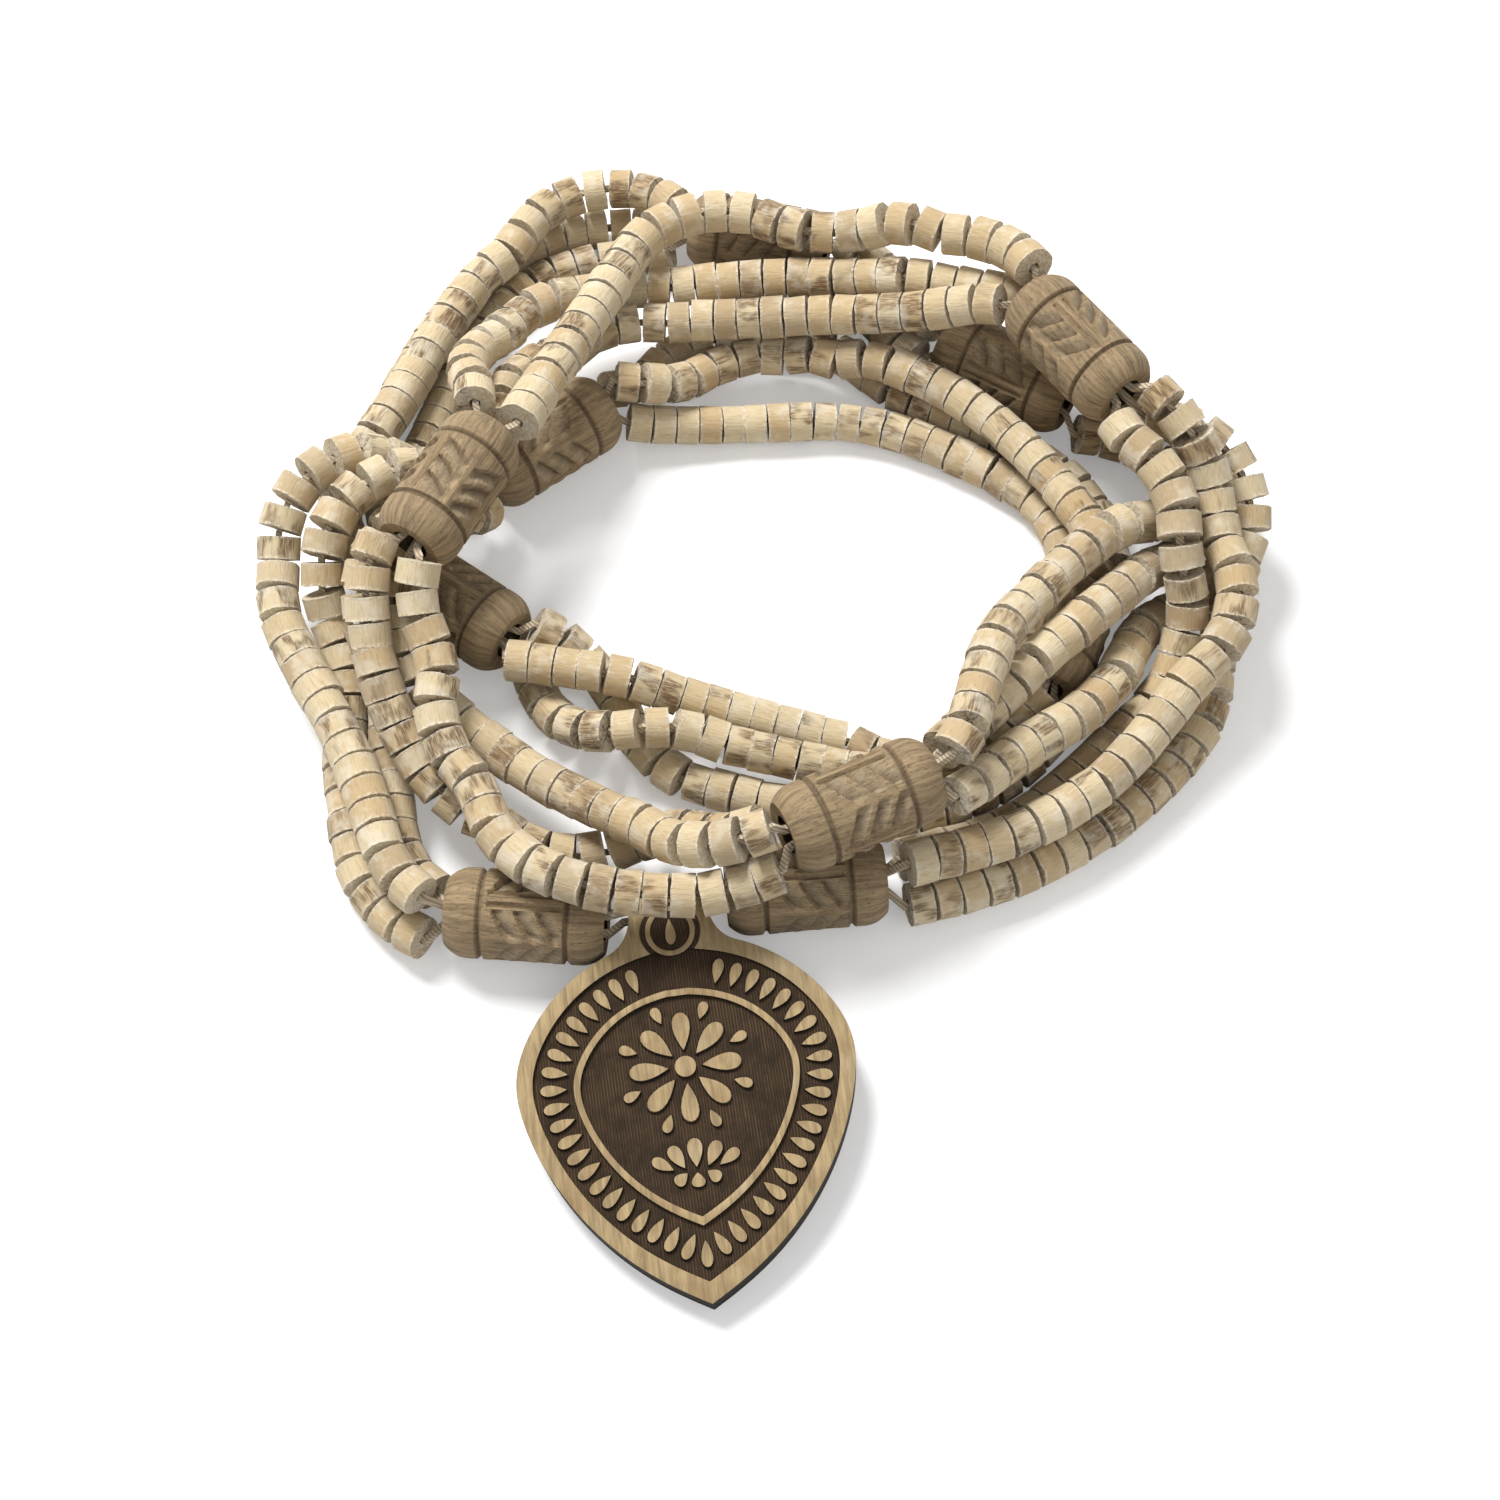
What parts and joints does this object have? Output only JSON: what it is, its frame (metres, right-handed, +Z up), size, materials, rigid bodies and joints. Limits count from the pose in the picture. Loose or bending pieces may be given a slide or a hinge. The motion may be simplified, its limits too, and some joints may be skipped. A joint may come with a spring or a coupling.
{
  "type": "prayer bead necklace",
  "caption": "Three-strand wooden prayer-bead necklace lying coiled, with pale disc beads, carved barrel beads and a leaf-shaped carved wooden pendant.",
  "frame": {"origin": "bottom centre of the bounding box, on the surface that the coil lies on", "axes": "+Z up; the pendant points to -Y and the coil lies behind it towards +Y; +X to the right seen from the pendant"},
  "size_m": [0.119, 0.146, 0.0236],
  "materials": {
    "bead_wood": "matte",
    "barrel_wood": "matte",
    "pendant_wood": "matte",
    "thread": "matte"
  },
  "bodies": {
    "beads_on_threads": {"bead_run_1a": "bead_wood", "bead_run_1b": "bead_wood", "bead_run_1c": "bead_wood", "bead_run_2a": "bead_wood", "bead_run_2b": "bead_wood", "bead_run_2c": "bead_wood", "bead_run_3a": "bead_wood", "bead_run_3b": "bead_wood", "bead_run_3c": "bead_wood", "bead_run_4a": "bead_wood", "bead_run_4b": "bead_wood", "bead_run_4c": "bead_wood", "bead_run_5a": "bead_wood", "bead_run_5b": "bead_wood", "bead_run_5c": "bead_wood", "bead_run_6a": "bead_wood", "bead_run_6b": "bead_wood", "bead_run_6c": "bead_wood", "bead_run_7a": "bead_wood", "bead_run_7b": "bead_wood", "bead_run_7c": "bead_wood", "bead_run_8a": "bead_wood", "bead_run_8b": "bead_wood", "bead_run_8c": "bead_wood", "bead_run_9a": "bead_wood", "bead_run_9b": "bead_wood", "bead_run_9c": "bead_wood", "thread_1": "thread", "thread_2": "thread", "thread_3": "thread"},
    "barrel_1": {"barrel_1": "barrel_wood"},
    "barrel_2": {"barrel_2": "barrel_wood"},
    "barrel_3": {"barrel_3": "barrel_wood"},
    "barrel_4": {"barrel_4": "barrel_wood"},
    "barrel_5": {"barrel_5": "barrel_wood"},
    "barrel_6": {"barrel_6": "barrel_wood"},
    "barrel_7": {"barrel_7": "barrel_wood"},
    "barrel_8": {"barrel_8": "barrel_wood"},
    "barrel_9": {"barrel_9": "barrel_wood"},
    "barrel_10": {"barrel_10": "barrel_wood"},
    "pendant": {"pendant": "pendant_wood"}
  },
  "joints": [
    {"name": "barrel_1_spin", "type": "hinge", "parent": "beads_on_threads", "child": "barrel_1", "pos_m": [-0.02641, -0.03069, 0.00519], "axis": [-0.9976, 0.0698, 0], "continuous": true},
    {"name": "barrel_2_spin", "type": "hinge", "parent": "beads_on_threads", "child": "barrel_2", "pos_m": [-0.02691, 0.03201, 0.00619], "axis": [0.788, 0.6157, 0], "continuous": true},
    {"name": "barrel_3_spin", "type": "hinge", "parent": "beads_on_threads", "child": "barrel_3", "pos_m": [0.03499, 0.00621, 0.00519], "axis": [-0.342, -0.9397, 0], "continuous": true},
    {"name": "barrel_4_spin", "type": "hinge", "parent": "beads_on_threads", "child": "barrel_4", "pos_m": [-0.03691, 0.00901, 0.00599], "axis": [-0.809, 0.5878, 0], "continuous": true},
    {"name": "barrel_5_spin", "type": "hinge", "parent": "beads_on_threads", "child": "barrel_5", "pos_m": [-0.00071, 0.06371, 0.00599], "axis": [0.9703, -0.2419, 0], "continuous": true},
    {"name": "barrel_6_spin", "type": "hinge", "parent": "beads_on_threads", "child": "barrel_6", "pos_m": [0.02989, 0.04311, 0.00539], "axis": [0.8572, -0.515, 0], "continuous": true},
    {"name": "barrel_7_spin", "type": "hinge", "parent": "beads_on_threads", "child": "barrel_7", "pos_m": [0.00969, -0.02209, 0.01539], "axis": [-0.9063, -0.4226, 0], "continuous": true},
    {"name": "barrel_8_spin", "type": "hinge", "parent": "beads_on_threads", "child": "barrel_8", "pos_m": [-0.03631, 0.01671, 0.01839], "axis": [0.4695, 0.8829, 0], "continuous": true},
    {"name": "barrel_9_spin", "type": "hinge", "parent": "beads_on_threads", "child": "barrel_9", "pos_m": [0.03669, 0.03701, 0.01819], "axis": [0.5878, -0.809, 0], "continuous": true},
    {"name": "barrel_10_spin", "type": "hinge", "parent": "beads_on_threads", "child": "barrel_10", "pos_m": [0.00409, -0.02699, 0.00519], "axis": [-0.9954, -0.0958, 0], "continuous": true},
    {"name": "pendant_swing", "type": "hinge", "parent": "beads_on_threads", "child": "pendant", "pos_m": [-0.01101, -0.02989, 0.00519], "axis": [-0.9917, -0.1176, -0.0522], "range_deg": [0, 8]}
  ]
}
